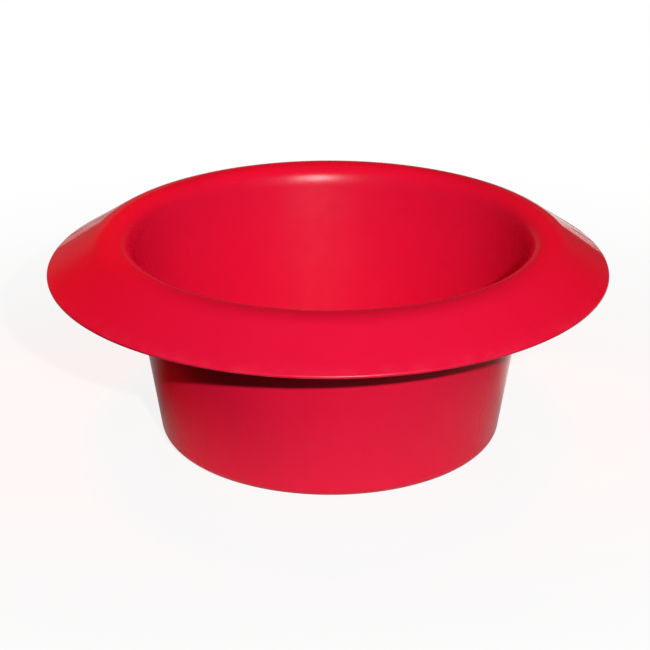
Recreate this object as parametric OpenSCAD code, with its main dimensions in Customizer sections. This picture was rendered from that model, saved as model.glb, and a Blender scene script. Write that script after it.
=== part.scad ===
// Feed tub: one round moulding of even thickness, with a flat base, a tapered wall,
// a mouth that rolls outward over a crest, and a wide brim that slopes down to a rounded lip.
// It stands on its base, or hangs by its brim in the hole of a tyre.
// Sizes are in millimetres. The origin is the centre of the base, on the ground.

/* [Base and wall] */
// Outside diameter of the base, where the line of the wall meets the ground
base_d = 342; // [300:1:380]
// Outside radius of the corner between base and wall
base_corner_r = 13; // [10:0.5:40]
// Lean of the wall from upright, in degrees
wall_draft = 8.8; // [3:0.1:14]
// Thickness of the moulding
wall_t = 4; // [2.5:0.1:8]

/* [Mouth] */
// Height of the crest above the ground, the tallest point of the tub
tub_h = 212; // [160:1:280]
// Radius of the throat, the gentle bend where the wall starts to turn outward, on its show face
throat_r = 38; // [22:0.5:60]
// Lean from upright, in degrees, at which the throat gives way to the tighter roll
throat_end = 25; // [16:0.5:45]
// Radius of the roll that carries the throat over to the crest, on its show face
roll_r = 17; // [12:0.5:20]
// Radius of the crest where it turns down into the brim, on its show face
crest_r = 38; // [20:0.5:55]

/* [Brim] */
// Reach of the brim, measured level from the top of the crest to the nose of the lip
brim_reach = 64.8; // [45:0.1:90]
// Slope of the brim below level, in degrees
brim_slope = 33.2; // [20:0.1:42]

/* [Hidden] */
$fn = 240;

// Arcs of the section are drawn as chords that stay within this distance of the true curve.
arc_tolerance = 0.03;

// Radius, at height z, of a line beside the wall that runs the given distance outside its outer face.
function wall_line(z, outside) = base_d / 2 + z * tan(wall_draft) + outside / cos(wall_draft);

// Centres of the bends, as [radius, height]. Each bend is tangent to its neighbours.
corner_c = [wall_line(base_corner_r, -base_corner_r), base_corner_r];
throat_z = tub_h - roll_r - (throat_r - roll_r) * sin(throat_end);
throat_c = [wall_line(throat_z, throat_r - wall_t), throat_z];
roll_c = throat_c + (throat_r - roll_r) * [-cos(throat_end), sin(throat_end)];
crest_c = [roll_c.x, tub_h - crest_r];

// The lip is a half round one wall thick, at the end of the line that runs midway through the brim.
lip_r = wall_t / 2;
brim_start = crest_c + (crest_r - lip_r) * [sin(brim_slope), cos(brim_slope)];
lip_x = crest_c.x + brim_reach - lip_r;
lip_c = [lip_x, brim_start.y - (lip_x - brim_start.x) * tan(brim_slope)];

// Directions of the two ends of each bend, seen from its centre, in degrees.
corner_ends = [-90, -wall_draft];
throat_ends = [180 - wall_draft, 180 - throat_end];
roll_ends = [180 - throat_end, 90];
crest_ends = [90, 90 - brim_slope];
lip_ends = [90 - brim_slope, -90 - brim_slope];

// Points on an arc about a centre. An arc that carries on from another leaves out their shared point.
function arc(centre, r, ends, carries_on = false) =
    let (
        turn = ends[1] - ends[0],
        steps = ceil(abs(turn) / (2 * acos(1 - arc_tolerance / r)))
    )
    [
        for (i = [carries_on ? 1 : 0 : steps])
            let (a = ends[0] + turn * i / steps)
                centre + r * [cos(a), sin(a)]
    ];

// One face of the moulding, from the middle of the base up the wall and over the crest.
// Depth is measured into the wall from the show face, which is the inside of the tub and the top of the brim.
function face(depth) = concat(
    [[0, wall_t - depth]],
    arc(corner_c, base_corner_r - wall_t + depth, corner_ends),
    arc(throat_c, throat_r - depth, throat_ends),
    arc(roll_c, roll_r - depth, roll_ends, true),
    arc(crest_c, crest_r - depth, crest_ends, true)
);

// Half section of the tub: the show face, then round the lip and back along the underside.
module half_section() {
    underside = face(wall_t);
    polygon(concat(
        face(0),
        arc(lip_c, lip_r, lip_ends),
        [for (i = [len(underside) - 1 : -1 : 0]) underside[i]]
    ));
}

// The whole tub, a single moulding.
module tub() {
    color("#df1a36")
        rotate_extrude()
            half_section();
}

tub();
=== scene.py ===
"""Feed tub: the looks of a one-piece moulded tub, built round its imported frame.

Lengths are metres in the frame's own axes: +Z up, with the origin at the centre of the base.
"""

from math import pi, radians

import bpy
import numpy as np
from bpy.props import FloatProperty, FloatVectorProperty, IntProperty, PointerProperty
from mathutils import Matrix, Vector


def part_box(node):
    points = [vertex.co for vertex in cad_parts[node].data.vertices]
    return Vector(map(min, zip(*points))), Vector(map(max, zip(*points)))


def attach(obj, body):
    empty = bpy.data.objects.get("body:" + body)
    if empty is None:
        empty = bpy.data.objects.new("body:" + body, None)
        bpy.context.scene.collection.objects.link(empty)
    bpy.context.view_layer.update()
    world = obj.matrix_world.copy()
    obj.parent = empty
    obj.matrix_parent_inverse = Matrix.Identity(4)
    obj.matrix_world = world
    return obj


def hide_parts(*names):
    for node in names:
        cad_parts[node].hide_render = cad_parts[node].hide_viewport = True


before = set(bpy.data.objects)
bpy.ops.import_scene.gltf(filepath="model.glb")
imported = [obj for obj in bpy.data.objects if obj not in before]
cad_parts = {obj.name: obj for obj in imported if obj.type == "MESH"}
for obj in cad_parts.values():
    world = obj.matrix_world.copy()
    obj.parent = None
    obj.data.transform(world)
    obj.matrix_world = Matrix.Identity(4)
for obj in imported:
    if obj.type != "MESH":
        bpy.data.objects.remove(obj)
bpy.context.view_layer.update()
tub_low, tub_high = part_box("tub")

bl_info = {
    "name": "Feed Tub",
    "version": (1, 0, 0),
    "blender": (4, 5, 0),
    "location": "3D View > Sidebar > Feed Tub",
    "description": "Makes a moulded feed tub with a sloping brim, and a studio to show it in",
    "category": "Add Mesh",
}

PHOTO_WIDTH_PX = 650
SENSOR_WIDTH_MM = 36
MILLIMETRE = 0.001
WHITE = (1, 1, 1, 1)

# Fineness of the meshes: the widest step round a bend and round the lip, the faces along each
# straight of the tub's section, and the faces round the stage's floor.
BEND_STEP = radians(2.5)
LIP_STEP = radians(10)
FLOOR_FACES = 12
WALL_FACES = 20
BRIM_FACES = 12
STAGE_SEGMENTS = 64

# Half section of the stage's floor, a thin disc, in shares of its radius.
STAGE_SECTION = np.array([[0, 0], [0.3, 0], [1, 0], [1, -0.001], [0, -0.001]])

# Shares of the brim's radius between which the set of the cooled brim grows.
SET_SPAN = (0.75, 1)

# Wear reaches this far from the lip, in thicknesses, and from the ground, in corner radii. On the
# base it grows between two shares of the base's radius.
LIP_WEAR = 2
GROUND_WEAR = 1 / 3
RUB_SPAN = (0.85, 0.95)

# Values of a noise between which most of it lies, between which a scuff goes from faint to full,
# and between which the lit floor goes from a dim patch to a bright one.
NOISE_SPAN = (0.3, 0.7)
SCUFF_SPAN = (0.35, 0.7)
DAPPLE_SPAN = (0.45, 0.5)

# Soft edges of the floor, in shares of the mat's radius: where the mat darkens, where the lit floor
# turns dappled, and where it starts behind the tub.
MAT_EDGE = np.array([0.6, 1.1])
DAPPLE_EDGE = np.array([1.6, 2.2])
LIT_EDGE = np.array([0, 0.5])

# Soft edge of the lit floor and of the backdrop, in shares of the radius or angle where they end.
END_EDGE = np.array([0.95, 1.05])

# Sideways parts of a direction between which the backdrop goes from its left level to its right
# one, and between which it dims toward either end.
BACKDROP_MIDDLE = (-0.2, 0.2)
BACKDROP_ENDS = (0.42, 0.6)

# A Mix node has inputs of one name for each kind of data, so its sockets are picked by number.
MIX_SHARE, FLOAT_A, FLOAT_B, COLOUR_A, COLOUR_B = 0, 2, 3, 6, 7
FLOAT_OUT, COLOUR_OUT = 0, 2

# Setting by which a Map Range node eases in and out between its ends.
SMOOTH = {"interpolation_type": "SMOOTHSTEP"}


def linear(code):
    """Linear red, green and blue of an sRGB hex colour such as "#df1a36", by the sRGB formula."""
    srgb = np.array([int(code[i:i + 2], 16) for i in (1, 3, 5)]) / 255
    return tuple(np.where(srgb <= 0.04045, srgb / 12.92, ((srgb + 0.055) / 1.055) ** 2.4).tolist())


class TubShape(bpy.types.PropertyGroup):
    """Sizes of the moulding. Height and brim come from the frame, the rest are the part's sizes."""

    height: FloatProperty(
        name="Height", description="Height of the crest above the ground",
        default=tub_high.z - tub_low.z, unit="LENGTH", precision=4)
    brim_diameter: FloatProperty(
        name="Brim Diameter", description="Outside diameter of the brim",
        default=tub_high.x - tub_low.x, unit="LENGTH", precision=4)
    brim_slope: FloatProperty(
        name="Brim Slope", description="Slope of the brim below level",
        default=radians(33.2), subtype="ANGLE")
    base_diameter: FloatProperty(
        name="Base Diameter",
        description="Outside diameter where the line of the wall meets the ground",
        default=0.342, unit="LENGTH", precision=4)
    base_corner: FloatProperty(
        name="Base Corner", description="Outside radius of the corner between base and wall",
        default=0.013, unit="LENGTH", precision=4)
    wall_lean: FloatProperty(
        name="Wall Lean", description="Lean of the wall from upright",
        default=radians(8.8), subtype="ANGLE")
    thickness: FloatProperty(
        name="Thickness", description="Thickness of the moulding",
        default=0.004, unit="LENGTH", precision=4)
    throat_radius: FloatProperty(
        name="Throat Radius",
        description="Show-face radius of the gentle bend where the wall starts to turn outward",
        default=0.038, unit="LENGTH", precision=4)
    throat_end: FloatProperty(
        name="Throat End",
        description="Lean from upright at which the gentle bend gives way to the tighter roll",
        default=radians(25), subtype="ANGLE")
    roll_radius: FloatProperty(
        name="Roll Radius", description="Show-face radius of the roll from the throat to the crest",
        default=0.017, unit="LENGTH", precision=4)
    crest_radius: FloatProperty(
        name="Crest Radius",
        description="Show-face radius of the crest where it turns down into the brim",
        default=0.038, unit="LENGTH", precision=4)
    brim_shift: FloatProperty(
        name="Brim Shift",
        description="How far the lip has set to the left of the wall's axis as the tub cooled",
        default=0.0022, unit="LENGTH", precision=5)
    brim_wave: FloatProperty(
        name="Brim Wave", description="How far the lip dips in waves round the brim",
        default=0.0004, unit="LENGTH", precision=5)
    wave_count: IntProperty(
        name="Wave Count", description="Number of waves round the brim", default=3, min=1, max=12)
    wave_phase: FloatProperty(
        name="Wave Phase", description="Phase of the waves on the right of the brim",
        default=1.9, subtype="ANGLE")
    segments: IntProperty(
        name="Segments", description="Faces round the tub", default=320, min=48, max=512)


class TubFinish(bpy.types.PropertyGroup):
    """Colours and gloss of the red polyethylene."""

    red: FloatVectorProperty(
        name="Red", description="Colour of the pigmented plastic",
        default=linear("#e5123a"), subtype="COLOR", size=3, min=0, max=1)
    deep_red: FloatVectorProperty(
        name="Deep Red", description="Colour where the pigment lies a little denser",
        default=linear("#da1036"), subtype="COLOR", size=3, min=0, max=1)
    streak_width: FloatProperty(
        name="Streak Width", description="Width of a flow streak in the pigment, at the base",
        default=19 * MILLIMETRE, unit="LENGTH", precision=4)
    cloud_size: FloatProperty(
        name="Cloud Size", description="Width of a cloud in the pigment",
        default=90 * MILLIMETRE, unit="LENGTH", precision=4)
    scuffed_red: FloatVectorProperty(
        name="Scuffed Red", description="Colour of the skin where handling has dulled it",
        default=linear("#e84a66"), subtype="COLOR", size=3, min=0, max=1)
    scuff_size: FloatProperty(
        name="Scuff Size", description="Width of a scuff on a handled edge",
        default=14 * MILLIMETRE, unit="LENGTH", precision=4)
    scuff_share: FloatProperty(
        name="Scuff Share", description="How much of the scuffed colour shows in a full scuff",
        default=0.15, subtype="FACTOR", min=0, max=1)
    scuff_roughness: FloatProperty(
        name="Scuff Roughness", description="Roughness that a scuff would add at a share of 1",
        default=0.4, subtype="FACTOR", min=0, max=1)
    ior: FloatProperty(
        name="IOR", description="Index of refraction of polyethylene", default=1.51, min=1, max=2)
    gloss: FloatProperty(
        name="Gloss",
        description="Level of the skin's reflections, where 0.5 is that of clean polyethylene",
        default=0.27, subtype="FACTOR", min=0, max=1)
    roughness: FloatProperty(
        name="Roughness", description="Mean roughness of the skin, seen squarely",
        default=0.32, subtype="FACTOR", min=0, max=1)
    roughness_spread: FloatProperty(
        name="Roughness Spread", description="How far the roughness strays from its mean",
        default=0.03, subtype="FACTOR", min=0, max=0.3)
    patch_size: FloatProperty(
        name="Patch Size", description="Width of the skin's duller and glossier patches",
        default=35 * MILLIMETRE, unit="LENGTH", precision=4)
    glance: FloatVectorProperty(
        name="Glance",
        description="Slants, 0 square and 1 edge on, between which reflections sharpen",
        default=(0.55, 0.8), size=2, min=0, max=1)
    grazing_share: FloatProperty(
        name="Grazing Share", description="Share of the roughness that is left at a low glance",
        default=0.25, subtype="FACTOR", min=0, max=1)
    peel_size: FloatProperty(
        name="Peel Size", description="Width of one dimple of the skin's orange peel",
        default=12 * MILLIMETRE, unit="LENGTH", precision=5)
    peel_depth: FloatProperty(
        name="Peel Depth", description="Depth of the orange peel",
        default=0.12 * MILLIMETRE, unit="LENGTH", precision=6)
    ripple_size: FloatProperty(
        name="Ripple Size",
        description="Width of the broad ripples left as the plastic shrank in its mould",
        default=55 * MILLIMETRE, unit="LENGTH", precision=4)
    ripple_depth: FloatProperty(
        name="Ripple Depth", description="Depth of the broad ripples",
        default=0.12 * MILLIMETRE, unit="LENGTH", precision=6)


class Studio(bpy.types.PropertyGroup):
    """Camera, lamps, backdrop and floor. The camera was fitted to the tub's outlines.

    A lamp's aim is in shares of the tub's half width, half depth and height.
    """

    camera_distance: FloatProperty(
        name="Camera Distance", description="Level distance from the camera to the tub's axis",
        default=2.0, unit="LENGTH")
    camera_height: FloatProperty(
        name="Camera Height", description="Height of the camera above the floor",
        default=0.9415, unit="LENGTH")
    camera_aside: FloatProperty(
        name="Camera Aside", description="How far the camera stands to the right of the tub's axis",
        default=-0.0052, unit="LENGTH", precision=4)
    aim_height: FloatProperty(
        name="Aim Height", description="Height of the point that the camera looks at",
        default=0.1095, unit="LENGTH", precision=4)
    focal_px: FloatProperty(
        name="Focal Length", description="Focal length in pixels of the square picture",
        default=2136)

    key_place: FloatVectorProperty(
        name="Key Place", description="Place of the small key lamp, beside and above the camera",
        default=(0.297, -2.0, 1.128), subtype="TRANSLATION", size=3)
    key_size: FloatProperty(
        name="Key Size", description="Diameter of the key lamp", default=0.05, unit="LENGTH")
    key_power: FloatProperty(
        name="Key Power", description="Power of the key lamp", default=47.5, unit="POWER")

    side_place: FloatVectorProperty(
        name="Side Place",
        description="Place of the right-hand lamp over the brim; the left-hand one mirrors it",
        default=(0.5, 0.2, 1.3), subtype="TRANSLATION", size=3)
    side_aim: FloatVectorProperty(
        name="Side Aim", description="Point on the brim that the right-hand lamp faces",
        default=(1, 0.1, 0.8), size=3)
    side_size: FloatProperty(
        name="Side Size", description="Width of a side lamp", default=0.35, unit="LENGTH")
    side_spread: FloatProperty(
        name="Side Spread", description="Angle of a side lamp's beam",
        default=radians(33), subtype="ANGLE")
    left_power: FloatProperty(
        name="Left Power", description="Power of the left-hand lamp", default=47, unit="POWER")
    right_power: FloatProperty(
        name="Right Power", description="Power of the right-hand lamp", default=35, unit="POWER")

    low_place: FloatVectorProperty(
        name="Low Place",
        description="Place of the low lamp on the left of the wall; the right-hand one mirrors it",
        default=(-1.3, -0.75, 0.1), subtype="TRANSLATION", size=3)
    low_aim: FloatVectorProperty(
        name="Low Aim", description="Point on the wall that the low lamp on the left faces",
        default=(-0.6, -0.3, 0.15), size=3)
    low_size: FloatProperty(
        name="Low Size", description="Width of a low lamp", default=0.05, unit="LENGTH")
    low_spread: FloatProperty(
        name="Low Spread", description="Angle of a low lamp's beam",
        default=radians(11), subtype="ANGLE")
    low_left_power: FloatProperty(
        name="Low Left Power", description="Power of the low lamp on the left",
        default=18, unit="POWER")
    low_right_power: FloatProperty(
        name="Low Right Power", description="Power of the low lamp on the right",
        default=7, unit="POWER")

    rim_place: FloatVectorProperty(
        name="Rim Place", description="Place of the lamp over the back of the rim",
        default=(0, 0.55, 1.2), subtype="TRANSLATION", size=3)
    rim_aim: FloatVectorProperty(
        name="Rim Aim", description="Point on the back of the rim that the rim lamp faces",
        default=(0, 0.84, 1), size=3)
    rim_size: FloatProperty(
        name="Rim Size", description="Width of the rim lamp", default=0.05, unit="LENGTH")
    rim_spread: FloatProperty(
        name="Rim Spread", description="Angle of the rim lamp's beam",
        default=radians(20), subtype="ANGLE")
    rim_power: FloatProperty(
        name="Rim Power", description="Power of the rim lamp", default=15, unit="POWER")
    filter_colour: FloatVectorProperty(
        name="Filter Colour", description="Colour of the filters on the side, low and rim lamps",
        default=linear("#ff3c14"), subtype="COLOR", size=3, min=0, max=1)

    back_place: FloatVectorProperty(
        name="Back Place", description="Place of the soft lamp behind the tub",
        default=(0, 2.0, 0.45), subtype="TRANSLATION", size=3)
    back_size: FloatProperty(
        name="Back Size", description="Width of the back lamp", default=1.0, unit="LENGTH")
    back_power: FloatProperty(
        name="Back Power", description="Power of the back lamp", default=25, unit="POWER")
    back_colour: FloatVectorProperty(
        name="Back Colour", description="Warm colour of the back lamp",
        default=linear("#ffe4d4"), subtype="COLOR", size=3, min=0, max=1)

    ambient: FloatProperty(
        name="Ambient", description="Level of the dim room", default=0.016, min=0)
    horizon: FloatVectorProperty(
        name="Horizon",
        description="Levels, in reflections, of the backdrop on the left and on the right",
        default=(0.11, 0.05), size=2, min=0)
    horizon_ends: FloatProperty(
        name="Horizon Ends", description="Share of the backdrop's level that its two ends have",
        default=0.2, subtype="FACTOR", min=0, max=1)
    horizon_rise: FloatProperty(
        name="Horizon Rise",
        description="Height above level at which the backdrop gives way to the dim room",
        default=radians(12), subtype="ANGLE")

    floor_radius: FloatProperty(
        name="Floor Radius", description="Radius of the floor", default=8.0, unit="LENGTH")
    floor_pale: FloatVectorProperty(
        name="Floor Pale", description="Floor colour that the eye sees",
        default=linear("#f4f4f2"), subtype="COLOR", size=3, min=0, max=1)
    floor_dark: FloatVectorProperty(
        name="Floor Dark", description="Colour, for bounced light, of the floor beyond the mat",
        default=linear("#141414"), subtype="COLOR", size=3, min=0, max=1)
    shadow_radius: FloatProperty(
        name="Shadow Radius",
        description="Distance from the tub's axis at which the floor has faded to plain white",
        default=0.95, unit="LENGTH")
    shadow_share: FloatProperty(
        name="Shadow Share", description="How much of the floor's own shading shows beside the tub",
        default=0.13, subtype="FACTOR", min=0, max=1)
    mat_place: FloatVectorProperty(
        name="Mat Place", description="Middle of the mat, which bounces light up at the tub",
        default=(0.045, -0.03, 0), subtype="TRANSLATION", size=3)
    mat_radius: FloatProperty(
        name="Mat Radius", description="Radius of the mat", default=0.30, unit="LENGTH")
    mat_colour: FloatVectorProperty(
        name="Mat Colour", description="Colour, for bounced light, of the mat",
        default=linear("#d2d1d0"), subtype="COLOR", size=3, min=0, max=1)
    # Painted reflection: beyond the mat the floor glows, in reflections only, at the levels below.
    # The glow stands in for a floor lit by the lamps.
    floor_gleam: FloatVectorProperty(
        name="Floor Gleam",
        description="Levels, in reflections, of the lit floor on the left and on the right",
        default=(0.5, 1.0), size=2, min=0)
    gleam_radius: FloatProperty(
        name="Gleam Radius", description="Distance from the tub's axis at which the lit floor ends",
        default=2.4, unit="LENGTH")
    near_share: FloatProperty(
        name="Near Share", description="Share of the lit floor's level that it has near the tub",
        default=0.6, subtype="FACTOR", min=0, max=1)
    dapple_size: FloatVectorProperty(
        name="Dapple Size",
        description="Width and length of the lit floor's bright and dim patches",
        default=(0.13, 0.4, 1), subtype="XYZ_LENGTH", size=3)
    dapple_share: FloatProperty(
        name="Dapple Share", description="Share of the lit floor's level that its dim patches have",
        default=0.15, subtype="FACTOR", min=0, max=1)


def arc(centre, radius, ends, step=BEND_STEP):
    """Points on an arc about a centre, from one direction to the other, in even steps no wider than
    the one given."""
    count = int(np.ceil(abs(ends[1] - ends[0]) / step)) + 1
    angle = np.linspace(*ends, count)
    return centre + radius * np.stack([np.cos(angle), np.sin(angle)], axis=1)


def straight(start, end, faces):
    """Points inside a straight that is cut into a number of faces. The share along it is a half
    cosine, so they lie closer together near its ends, where it meets an arc."""
    share = (1 - np.cos(pi * np.arange(1, faces) / faces)) / 2
    return start + share[:, None] * (end - start)


def meridian(shape):
    """Half section of the tub as rows of radius and height, and the centre of its lip.

    The rows run from the middle of the floor, over the brim, to the middle of the base. The show
    face is a chain of tangent arcs and straights: floor, corner, wall, throat, roll, crest and
    brim. The underside is the same chain one thickness deeper, and a half-round lip joins the two.
    """
    lean, slope, deep = shape.wall_lean, shape.brim_slope, shape.thickness

    def wall_line(height, outside):
        """Radius of a line that runs the given distance outside the wall's outer face."""
        return shape.base_diameter / 2 + height * np.tan(lean) + outside / np.cos(lean)

    corner = np.array([wall_line(shape.base_corner, -shape.base_corner), shape.base_corner])
    turn, eased = shape.throat_end, shape.throat_radius - shape.roll_radius
    throat_z = shape.height - shape.roll_radius - eased * np.sin(turn)
    throat = np.array([wall_line(throat_z, shape.throat_radius - deep), throat_z])
    roll = throat + eased * np.array([-np.cos(turn), np.sin(turn)])
    crest = np.array([roll[0], shape.height - shape.crest_radius])

    lip_r = deep / 2
    brim_start = crest + (shape.crest_radius - lip_r) * np.array([np.sin(slope), np.cos(slope)])
    lip_x = shape.brim_diameter / 2 - lip_r
    lip = np.array([lip_x, brim_start[1] - (lip_x - brim_start[0]) * np.tan(slope)])

    def face(depth):
        """One face of the moulding, at a depth below the show face."""
        middle = np.array([0, deep - depth])
        bend = arc(corner, shape.base_corner - deep + depth, (-pi / 2, -lean))
        mouth = np.concatenate([
            arc(throat, shape.throat_radius - depth, (pi - lean, pi - turn)),
            arc(roll, shape.roll_radius - depth, (pi - turn, pi / 2))[1:],
            arc(crest, shape.crest_radius - depth, (pi / 2, pi / 2 - slope))[1:],
        ])
        return np.concatenate([
            middle[None], straight(middle, bend[0], FLOOR_FACES),
            bend, straight(bend[-1], mouth[0], WALL_FACES), mouth,
        ])

    show, underside = face(0), face(deep)[::-1]
    nose = arc(lip, lip_r, (pi / 2 - slope, -pi / 2 - slope), LIP_STEP)
    rows = np.concatenate([
        show, straight(show[-1], nose[0], BRIM_FACES),
        nose, straight(nose[-1], underside[0], BRIM_FACES), underside,
    ])
    return rows, lip


def revolve(rows, segments):
    """Turns a half section about the Z axis: vertex (i, j) is row i at the angle of a full turn
    times j / segments.

    The first and last rows lie on the axis, so each is a single vertex, and a fan of triangles
    closes its pole. Returns the points and the faces, which look outward when the section runs from
    the inside to the outside.
    """
    angle = 2 * pi * np.arange(segments) / segments
    radius, height = rows[1:-1, 0, None], rows[1:-1, 1, None]
    axes = radius * np.cos(angle), radius * np.sin(angle), height
    rings = np.stack(np.broadcast_arrays(*axes), axis=2)
    poles = np.array([[0, 0, rows[0, 1]], [0, 0, rows[-1, 1]]])
    points = np.concatenate([rings.reshape(-1, 3), poles])

    here = np.arange(rings.shape[0] * segments).reshape(-1, segments)
    after = np.roll(here, -1, axis=1)
    quads = np.stack([here[:-1], here[1:], after[1:], after[:-1]], axis=2).reshape(-1, 4)
    first, last = np.full(segments, here.size), np.full(segments, here.size + 1)
    fans = np.concatenate([
        np.stack([first, here[0], after[0]], axis=1),
        np.stack([here[-1], last, after[-1]], axis=1),
    ])
    return points, quads.tolist() + fans.tolist()


def settle(points, shape):
    """Gives the true round form the slight set of a cooled moulding.

    The brim is shifted to the left, and dips by a cosine of the angle round it, with a few waves.
    Both grow with the square of the distance past the wall, so wall and base stay as they are.
    """
    x, y = points[:, 0], points[:, 1]
    past_wall = np.interp(2 * np.hypot(x, y) / shape.brim_diameter, SET_SPAN, (0, 1)) ** 2
    wave = np.cos(shape.wave_count * np.arctan2(y, x) + shape.wave_phase)
    dip = shape.brim_wave * (wave - 1) / 2
    move = np.stack([np.full_like(x, -shape.brim_shift), np.zeros_like(x), dip], axis=1)
    return points + past_wall[:, None] * move


def handling(points, shape, lip):
    """How much handling each point has had, from 0 to 1.

    It is a bell curve of the distance to the lip's ring, or, where that is more, one of the height
    above the ground, for the edge of the base that drags over the floor.
    """
    radius, height = np.hypot(points[:, 0], points[:, 1]), points[:, 2]
    from_lip = np.hypot(radius - lip[0], height - lip[1]) / (LIP_WEAR * shape.thickness)
    from_ground = height / (GROUND_WEAR * shape.base_corner)
    at_edge = np.interp(2 * radius / shape.base_diameter, RUB_SPAN, (0, 1))
    return np.maximum(np.exp(-from_lip ** 2), at_edge * np.exp(-from_ground ** 2))


def add_node(tree, kind, settings=None, inputs=None):
    """Adds a node of one kind, with its settings and inputs. An input that is a socket is linked,
    any other is set."""
    node = tree.nodes.new(kind)
    for name, value in (settings or {}).items():
        setattr(node, name, value)
    for name, value in (inputs or {}).items():
        if isinstance(value, bpy.types.NodeSocket):
            tree.links.new(value, node.inputs[name])
        else:
            node.inputs[name].default_value = value
    return node


def between(value, ends, levels=(0, 1)):
    """Inputs of a Map Range node that goes from one level to the other as a value passes between
    two ends."""
    names = "Value", "From Min", "From Max", "To Min", "To Max"
    return dict(zip(names, (value, *ends, *levels)))


def new_tree(owner):
    """An empty node tree for a material or a world."""
    owner.use_nodes = True
    owner.node_tree.nodes.clear()
    return owner.node_tree


def moulded_polyethylene(finish, base_radius):
    """Red high-density polyethylene, moulded against polished steel.

    To the eye it is a dense, even red under a satin skin: highlights are broad and soft, and
    reflections sharpen only at a low glance. The skin has an orange peel and broad shallow ripples,
    which bend those reflections. The pigment varies a little along the flow of the plastic, and
    handled edges are duller and paler.
    """
    material = bpy.data.materials.new("red_moulded_polyethylene")
    tree = new_tree(material)
    place = add_node(tree, "ShaderNodeTexCoord").outputs["Object"]

    # Plastic flows outward from the middle of the base, so the streaks follow the direction round
    # the axis only.
    level = add_node(tree, "ShaderNodeVectorMath", {"operation": "MULTIPLY"}, {
        0: place, 1: (1, 1, 0)})
    around = add_node(tree, "ShaderNodeVectorMath", {"operation": "NORMALIZE"}, {
        0: level.outputs[0]})
    streaks = add_node(tree, "ShaderNodeTexNoise", None, {
        "Vector": around.outputs[0], "Scale": base_radius / finish.streak_width,
        "Detail": 3, "Roughness": 0.6})
    clouds = add_node(tree, "ShaderNodeTexNoise", None, {
        "Vector": place, "Scale": 1 / finish.cloud_size, "Detail": 2, "Roughness": 0.5})
    pigment = add_node(tree, "ShaderNodeMath", {"operation": "MULTIPLY", "use_clamp": True}, {
        0: streaks.outputs["Fac"], 1: clouds.outputs["Fac"]})
    body = add_node(tree, "ShaderNodeMix", {"data_type": "RGBA"}, {
        MIX_SHARE: pigment.outputs[0],
        COLOUR_A: (*finish.red, 1), COLOUR_B: (*finish.deep_red, 1)})

    # Scuffs are drawn coarser than real ones, which are too fine to show at this distance.
    wear = add_node(tree, "ShaderNodeAttribute", {"attribute_name": "handling"})
    scuff = add_node(tree, "ShaderNodeTexNoise", None, {
        "Vector": place, "Scale": 1 / finish.scuff_size, "Detail": 3, "Roughness": 0.5})
    patchy = add_node(tree, "ShaderNodeMapRange", None, between(
        scuff.outputs["Fac"], SCUFF_SPAN, (0, finish.scuff_share)))
    worn = add_node(tree, "ShaderNodeMath", {"operation": "MULTIPLY", "use_clamp": True}, {
        0: wear.outputs["Fac"], 1: patchy.outputs[0]})
    colour = add_node(tree, "ShaderNodeMix", {"data_type": "RGBA"}, {
        MIX_SHARE: worn.outputs[0],
        COLOUR_A: body.outputs[COLOUR_OUT], COLOUR_B: (*finish.scuffed_red, 1)})

    patches = add_node(tree, "ShaderNodeTexNoise", None, {
        "Vector": place, "Scale": 1 / finish.patch_size, "Detail": 3, "Roughness": 0.55})
    glossiest = finish.roughness - finish.roughness_spread
    dullest = finish.roughness + finish.roughness_spread
    uneven = add_node(tree, "ShaderNodeMapRange", None, between(
        patches.outputs["Fac"], NOISE_SPAN, (glossiest, dullest)))
    dulled = add_node(tree, "ShaderNodeMath", {"operation": "MULTIPLY_ADD", "use_clamp": True}, {
        0: worn.outputs[0], 1: finish.scuff_roughness, 2: uneven.outputs[0]})
    # At a low glance the fine unevenness that spreads a highlight no longer does, and the skin
    # mirrors.
    slant = add_node(tree, "ShaderNodeLayerWeight", None, {"Blend": 0.5})
    sharpened = add_node(tree, "ShaderNodeMapRange", SMOOTH, between(
        slant.outputs["Facing"], finish.glance, (1, finish.grazing_share)))
    satin = add_node(tree, "ShaderNodeMath", {"operation": "MULTIPLY"}, {
        0: dulled.outputs[0], 1: sharpened.outputs[0]})

    ripple = add_node(tree, "ShaderNodeTexNoise", None, {
        "Vector": place, "Scale": 1 / finish.ripple_size, "Detail": 1, "Roughness": 0.4})
    rippled = add_node(tree, "ShaderNodeBump", None, {
        "Strength": 1, "Distance": finish.ripple_depth, "Height": ripple.outputs["Fac"]})
    peel = add_node(tree, "ShaderNodeTexNoise", None, {
        "Vector": place, "Scale": 1 / finish.peel_size, "Detail": 2, "Roughness": 0.45})
    peeled = add_node(tree, "ShaderNodeBump", None, {
        "Strength": 1, "Distance": finish.peel_depth, "Height": peel.outputs["Fac"],
        "Normal": rippled.outputs[0]})

    skin = add_node(tree, "ShaderNodeBsdfPrincipled", None, {
        "Base Color": colour.outputs[COLOUR_OUT], "Roughness": satin.outputs[0],
        "IOR": finish.ior, "Specular IOR Level": finish.gloss, "Normal": peeled.outputs[0]})
    add_node(tree, "ShaderNodeOutputMaterial", None, {"Surface": skin.outputs[0]})
    return material


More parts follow.
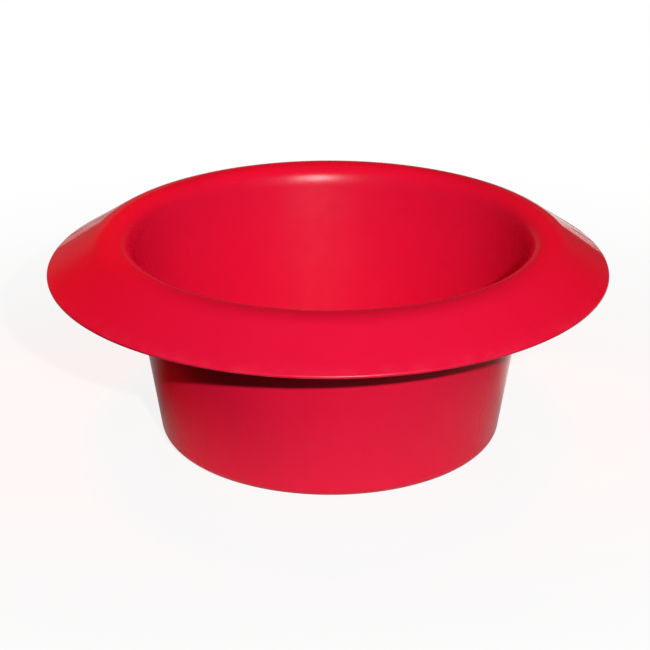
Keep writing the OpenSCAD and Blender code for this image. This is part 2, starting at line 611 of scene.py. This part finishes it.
def pale_floor(studio):
    """Seamless white paper. To the eye it is plain white, with only the tub's soft shadow on it.

    Near the tub it shows a share of its own shading, which fades to plain white further out. Light
    bounces up at the tub only from the mat close round it. Behind the tub the floor glows in
    reflections only, a painted reflection that stands in for a floor lit by the lamps.
    """
    material = bpy.data.materials.new("white_paper_floor")
    # What the floor gives out is for the camera and for reflections only, so it is no lamp.
    material.cycles.emission_sampling = "NONE"
    tree = new_tree(material)
    path = add_node(tree, "ShaderNodeLightPath").outputs
    shown = add_node(tree, "ShaderNodeMath", {"operation": "MAXIMUM"}, {
        0: path["Is Camera Ray"], 1: path["Is Transmission Ray"]}).outputs[0]
    place = add_node(tree, "ShaderNodeTexCoord").outputs["Object"]
    axes = add_node(tree, "ShaderNodeSeparateXYZ", None, {0: place}).outputs
    away = add_node(tree, "ShaderNodeVectorMath", {"operation": "LENGTH"}, {
        0: place}).outputs["Value"]

    from_mat = add_node(tree, "ShaderNodeVectorMath", {"operation": "DISTANCE"}, {
        0: place, 1: studio.mat_place})
    past_mat = add_node(tree, "ShaderNodeMapRange", SMOOTH, between(
        from_mat.outputs["Value"], studio.mat_radius * MAT_EDGE))
    bounced = add_node(tree, "ShaderNodeMix", {"data_type": "RGBA"}, {
        MIX_SHARE: past_mat.outputs[0],
        COLOUR_A: (*studio.mat_colour, 1), COLOUR_B: (*studio.floor_dark, 1)})
    colour = add_node(tree, "ShaderNodeMix", {"data_type": "RGBA"}, {
        MIX_SHARE: shown,
        COLOUR_A: bounced.outputs[COLOUR_OUT], COLOUR_B: (*studio.floor_pale, 1)})
    paper = add_node(tree, "ShaderNodeBsdfDiffuse", None, {"Color": colour.outputs[COLOUR_OUT]})
    plain = add_node(tree, "ShaderNodeEmission", None, {"Color": WHITE, "Strength": 1})
    faded = add_node(tree, "ShaderNodeMapRange", SMOOTH, between(
        away, (tub_high.x, studio.shadow_radius), (1 - studio.shadow_share, 1)))
    plainness = add_node(tree, "ShaderNodeMath", {"operation": "MULTIPLY"}, {
        0: shown, 1: faded.outputs[0]})
    floor = add_node(tree, "ShaderNodeMixShader", None, {
        0: plainness.outputs[0], 1: paper.outputs[0], 2: plain.outputs[0]})

    # Painted reflection: the floor's glow, seen only in reflections, is dappled, so that its
    # reflections at a low glance have broken edges.
    grain = add_node(tree, "ShaderNodeVectorMath", {"operation": "DIVIDE"}, {
        0: place, 1: studio.dapple_size})
    dapple = add_node(tree, "ShaderNodeTexNoise", None, {
        "Vector": grain.outputs[0], "Scale": 1, "Detail": 3, "Roughness": 0.6})
    dappled = add_node(tree, "ShaderNodeMapRange", SMOOTH, between(
        dapple.outputs["Fac"], DAPPLE_SPAN, (studio.dapple_share, 1)))
    far = add_node(tree, "ShaderNodeMapRange", SMOOTH, between(
        away, studio.mat_radius * DAPPLE_EDGE))
    patches = add_node(tree, "ShaderNodeMix", {"data_type": "FLOAT"}, {
        MIX_SHARE: far.outputs[0], FLOAT_A: studio.near_share, FLOAT_B: dappled.outputs[0]})

    # Where it ends, the floor takes on the level of the backdrop.
    sides = -studio.mat_radius, studio.mat_radius
    across = add_node(tree, "ShaderNodeMapRange", SMOOTH, between(
        axes["X"], sides, studio.floor_gleam))
    gleams = add_node(tree, "ShaderNodeMath", {"operation": "MULTIPLY"}, {
        0: across.outputs[0], 1: patches.outputs[FLOAT_OUT]})
    backdrop = add_node(tree, "ShaderNodeMapRange", SMOOTH, between(
        axes["X"], sides, studio.horizon))
    ended = add_node(tree, "ShaderNodeMapRange", SMOOTH, between(
        away, studio.gleam_radius * END_EDGE))
    glowing = add_node(tree, "ShaderNodeMix", {"data_type": "FLOAT"}, {
        MIX_SHARE: ended.outputs[0], FLOAT_A: gleams.outputs[0], FLOAT_B: backdrop.outputs[0]})
    behind = add_node(tree, "ShaderNodeMapRange", SMOOTH, between(
        axes["Y"], studio.mat_radius * LIT_EDGE))
    beyond = add_node(tree, "ShaderNodeMath", {"operation": "MULTIPLY"}, {
        0: glowing.outputs[FLOAT_OUT], 1: behind.outputs[0]})
    # Painted reflection: the glow goes to reflections only, so to the camera the floor stays plain
    # white.
    level = add_node(tree, "ShaderNodeMath", {"operation": "MULTIPLY"}, {
        0: path["Is Glossy Ray"], 1: beyond.outputs[0]})
    gleam = add_node(tree, "ShaderNodeEmission", None, {
        "Color": WHITE, "Strength": level.outputs[0]})
    both = add_node(tree, "ShaderNodeAddShader", None, {0: floor.outputs[0], 1: gleam.outputs[0]})
    add_node(tree, "ShaderNodeOutputMaterial", None, {"Surface": both.outputs[0]})
    return material


def white_backdrop(studio):
    """World that is white wherever the camera sees past the floor.

    Reflections show the backdrop along the horizon, which dims toward its two ends, and the dim
    room above it.
    """
    world = bpy.data.worlds.new("white_backdrop")
    # The room's light is faint and even, so it is not sampled as a lamp.
    world.cycles.sampling_method = "NONE"
    tree = new_tree(world)
    path = add_node(tree, "ShaderNodeLightPath").outputs
    shown = add_node(tree, "ShaderNodeMath", {"operation": "MAXIMUM"}, {
        0: path["Is Camera Ray"], 1: path["Is Transmission Ray"]}).outputs[0]
    direction = add_node(tree, "ShaderNodeTexCoord").outputs["Generated"]
    toward = add_node(tree, "ShaderNodeSeparateXYZ", None, {0: direction}).outputs

    across = add_node(tree, "ShaderNodeMapRange", SMOOTH, between(
        toward["X"], BACKDROP_MIDDLE, studio.horizon))
    aside = add_node(tree, "ShaderNodeMath", {"operation": "ABSOLUTE"}, {0: toward["X"]})
    dimmed = add_node(tree, "ShaderNodeMapRange", SMOOTH, between(
        aside.outputs[0], BACKDROP_ENDS, (1, studio.horizon_ends)))
    backdrop = add_node(tree, "ShaderNodeMath", {"operation": "MULTIPLY"}, {
        0: across.outputs[0], 1: dimmed.outputs[0]})
    above = add_node(tree, "ShaderNodeMapRange", SMOOTH, between(
        toward["Z"], np.sin(studio.horizon_rise * END_EDGE)))
    band = add_node(tree, "ShaderNodeMix", {"data_type": "FLOAT"}, {
        MIX_SHARE: above.outputs[0], FLOAT_A: backdrop.outputs[0], FLOAT_B: studio.ambient})
    reflected = add_node(tree, "ShaderNodeMix", {"data_type": "FLOAT"}, {
        MIX_SHARE: path["Is Glossy Ray"],
        FLOAT_A: studio.ambient, FLOAT_B: band.outputs[FLOAT_OUT]})
    strength = add_node(tree, "ShaderNodeMath", {"operation": "MAXIMUM"}, {
        0: shown, 1: reflected.outputs[FLOAT_OUT]})
    background = add_node(tree, "ShaderNodeBackground", None, {
        "Color": WHITE, "Strength": strength.outputs[0]})
    add_node(tree, "ShaderNodeOutputWorld", None, {"Surface": background.outputs[0]})
    return world


def new_piece(name, points, faces, material):
    """A smooth-shaded mesh object at the origin, in the scene's own collection."""
    mesh = bpy.data.meshes.new(name)
    mesh.from_pydata(points, [], faces)
    mesh.shade_smooth()
    mesh.materials.append(material)
    piece = bpy.data.objects.new(name, mesh)
    bpy.context.scene.collection.objects.link(piece)
    return piece


def look_at(thing, place, target):
    """Puts a lamp or camera at a place and turns it to face a target."""
    thing.location = place
    thing.rotation_euler = (Vector(target) - Vector(place)).to_track_quat("-Z", "Y").to_euler()


def place_lamps(scene, studio):
    """Adds the key lamp, the filtered lamps that fill in the shade, and the back lamp.

    The side lamps are a pair, mirrored from right to left, and so are the low lamps.
    """
    def disk(size):
        """Settings of a round area lamp."""
        return {"shape": "DISK", "size": size}

    def spot(size, spread):
        """Settings of a spot lamp whose beam has a soft edge."""
        return {"shadow_soft_size": size / 2, "spot_size": spread, "spot_blend": 1}

    middle = (0, 0, tub_high.z / 2)
    flip = Vector((-1, 1, 1))
    side, brim = Vector(studio.side_place), Vector(studio.side_aim) * tub_high
    low, wall = Vector(studio.low_place), Vector(studio.low_aim) * tub_high
    rim = Vector(studio.rim_aim) * tub_high
    broad = spot(studio.side_size, studio.side_spread)
    narrow = spot(studio.low_size, studio.low_spread)
    overhead = spot(studio.rim_size, studio.rim_spread)
    small, large = disk(studio.key_size), disk(studio.back_size)
    white, red, warm = WHITE[:3], studio.filter_colour, studio.back_colour
    for name, kind, settings, place, target, power, colour in (
        ("key_lamp", "AREA", small, studio.key_place, middle, studio.key_power, white),
        ("right_lamp", "SPOT", broad, side, brim, studio.right_power, red),
        ("left_lamp", "SPOT", broad, side * flip, brim * flip, studio.left_power, red),
        ("low_left_lamp", "SPOT", narrow, low, wall, studio.low_left_power, red),
        ("low_right_lamp", "SPOT", narrow, low * flip, wall * flip, studio.low_right_power, red),
        ("rim_lamp", "SPOT", overhead, studio.rim_place, rim, studio.rim_power, red),
        ("back_lamp", "AREA", large, studio.back_place, middle, studio.back_power, warm),
    ):
        lamp = bpy.data.lights.new(name, kind)
        lamp.energy, lamp.color = power, colour
        for setting, value in settings.items():
            setattr(lamp, setting, value)
        stand = bpy.data.objects.new(name, lamp)
        scene.collection.objects.link(stand)
        look_at(stand, place, target)
        # Only the key lamp shows in reflections.
        is_key = name == "key_lamp"
        stand.visible_glossy = is_key
        lamp.cycles.use_multiple_importance_sampling = is_key


def place_camera(scene, studio):
    """Adds the camera and makes it the scene's own."""
    camera = bpy.data.objects.new("camera", bpy.data.cameras.new("camera"))
    camera.data.sensor_width = SENSOR_WIDTH_MM
    camera.data.lens = studio.focal_px / PHOTO_WIDTH_PX * SENSOR_WIDTH_MM
    scene.collection.objects.link(camera)
    aside = studio.camera_aside
    stand = (aside, -studio.camera_distance, studio.camera_height)
    look_at(camera, stand, (aside, 0, studio.aim_height))
    scene.camera = camera


class FEEDTUB_OT_make_tub(bpy.types.Operator):
    """Makes the red tub in place of the plain solid"""

    bl_idname = "feedtub.make_tub"
    bl_label = "Make Tub"

    def execute(self, context):
        shape, finish = context.scene.feedtub_shape, context.scene.feedtub_finish
        rows, lip = meridian(shape)
        points, faces = revolve(rows, shape.segments)
        worn = handling(points, shape, lip)
        material = moulded_polyethylene(finish, shape.base_diameter / 2)
        tub = new_piece("feed_tub", settle(points, shape), faces, material)
        tub.data.attributes.new("handling", "FLOAT", "POINT").data.foreach_set("value", worn)
        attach(tub, "root")
        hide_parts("tub")
        return {"FINISHED"}


class FEEDTUB_OT_make_studio(bpy.types.Operator):
    """Makes the floor, the white backdrop, the lamps and the camera"""

    bl_idname = "feedtub.make_studio"
    bl_label = "Make Studio"

    def execute(self, context):
        scene, studio = context.scene, context.scene.feedtub_studio
        points, faces = revolve(STAGE_SECTION * studio.floor_radius, STAGE_SEGMENTS)
        new_piece("floor", points, faces, pale_floor(studio))
        scene.world = white_backdrop(studio)
        place_lamps(scene, studio)
        place_camera(scene, studio)
        scene.view_settings.view_transform = "Standard"
        return {"FINISHED"}


class FEEDTUB_PT_panel(bpy.types.Panel):
    """Lists the operators and the values that they use"""

    bl_idname = "FEEDTUB_PT_panel"
    bl_label = "Feed Tub"
    bl_space_type = "VIEW_3D"
    bl_region_type = "UI"
    bl_category = "Feed Tub"

    def draw(self, context):
        for group, operator in (
            ("feedtub_shape", None),
            ("feedtub_finish", FEEDTUB_OT_make_tub),
            ("feedtub_studio", FEEDTUB_OT_make_studio),
        ):
            values = getattr(context.scene, group)
            for name in values.__annotations__:
                self.layout.prop(values, name)
            if operator:
                self.layout.operator(operator.bl_idname)


GROUPS = {"feedtub_shape": TubShape, "feedtub_finish": TubFinish, "feedtub_studio": Studio}
CLASSES = (*GROUPS.values(), FEEDTUB_OT_make_tub, FEEDTUB_OT_make_studio, FEEDTUB_PT_panel)


def register():
    """Adds the classes to Blender, and the groups of values to its scenes."""
    for cls in CLASSES:
        bpy.utils.register_class(cls)
    for name, group in GROUPS.items():
        setattr(bpy.types.Scene, name, PointerProperty(type=group))


def unregister():
    """Takes away what register added, in the opposite order."""
    for name in GROUPS:
        delattr(bpy.types.Scene, name)
    for cls in reversed(CLASSES):
        bpy.utils.unregister_class(cls)


def main():
    """Makes the tub and the studio."""
    register()
    bpy.ops.feedtub.make_tub()
    bpy.ops.feedtub.make_studio()


if __name__ == "__main__":
    main()
